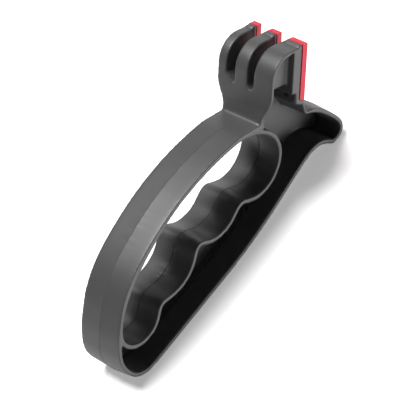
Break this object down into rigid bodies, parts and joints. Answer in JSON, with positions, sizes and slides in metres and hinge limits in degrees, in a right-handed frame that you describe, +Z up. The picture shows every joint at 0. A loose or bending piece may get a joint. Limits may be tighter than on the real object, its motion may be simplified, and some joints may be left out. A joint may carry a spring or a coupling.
{
  "type": "pull through knife sharpener",
  "caption": "Hand-held pull-through knife sharpener with a knuckle guard, a coarse and a fine slot and a red face plate.",
  "frame": {"origin": "on the ground, below the middle of the bounding box", "axes": "+X from the tail to the toe, +Y away from the open side that the picture shows, +Z up"},
  "size_m": [0.141, 0.0284, 0.0666],
  "materials": {
    "body_plastic": "satin",
    "plate_plastic": "gloss",
    "carbide": "ground",
    "ceramic": "matte",
    "screw_steel": "plated"
  },
  "bodies": {
    "root": {"handle": "body_plastic", "face_plate": "plate_plastic", "coarse_blade_left": "carbide", "coarse_blade_right": "carbide", "fine_rod_left": "ceramic", "fine_rod_right": "ceramic", "plate_screws": "screw_steel"}
  },
  "joints": []
}
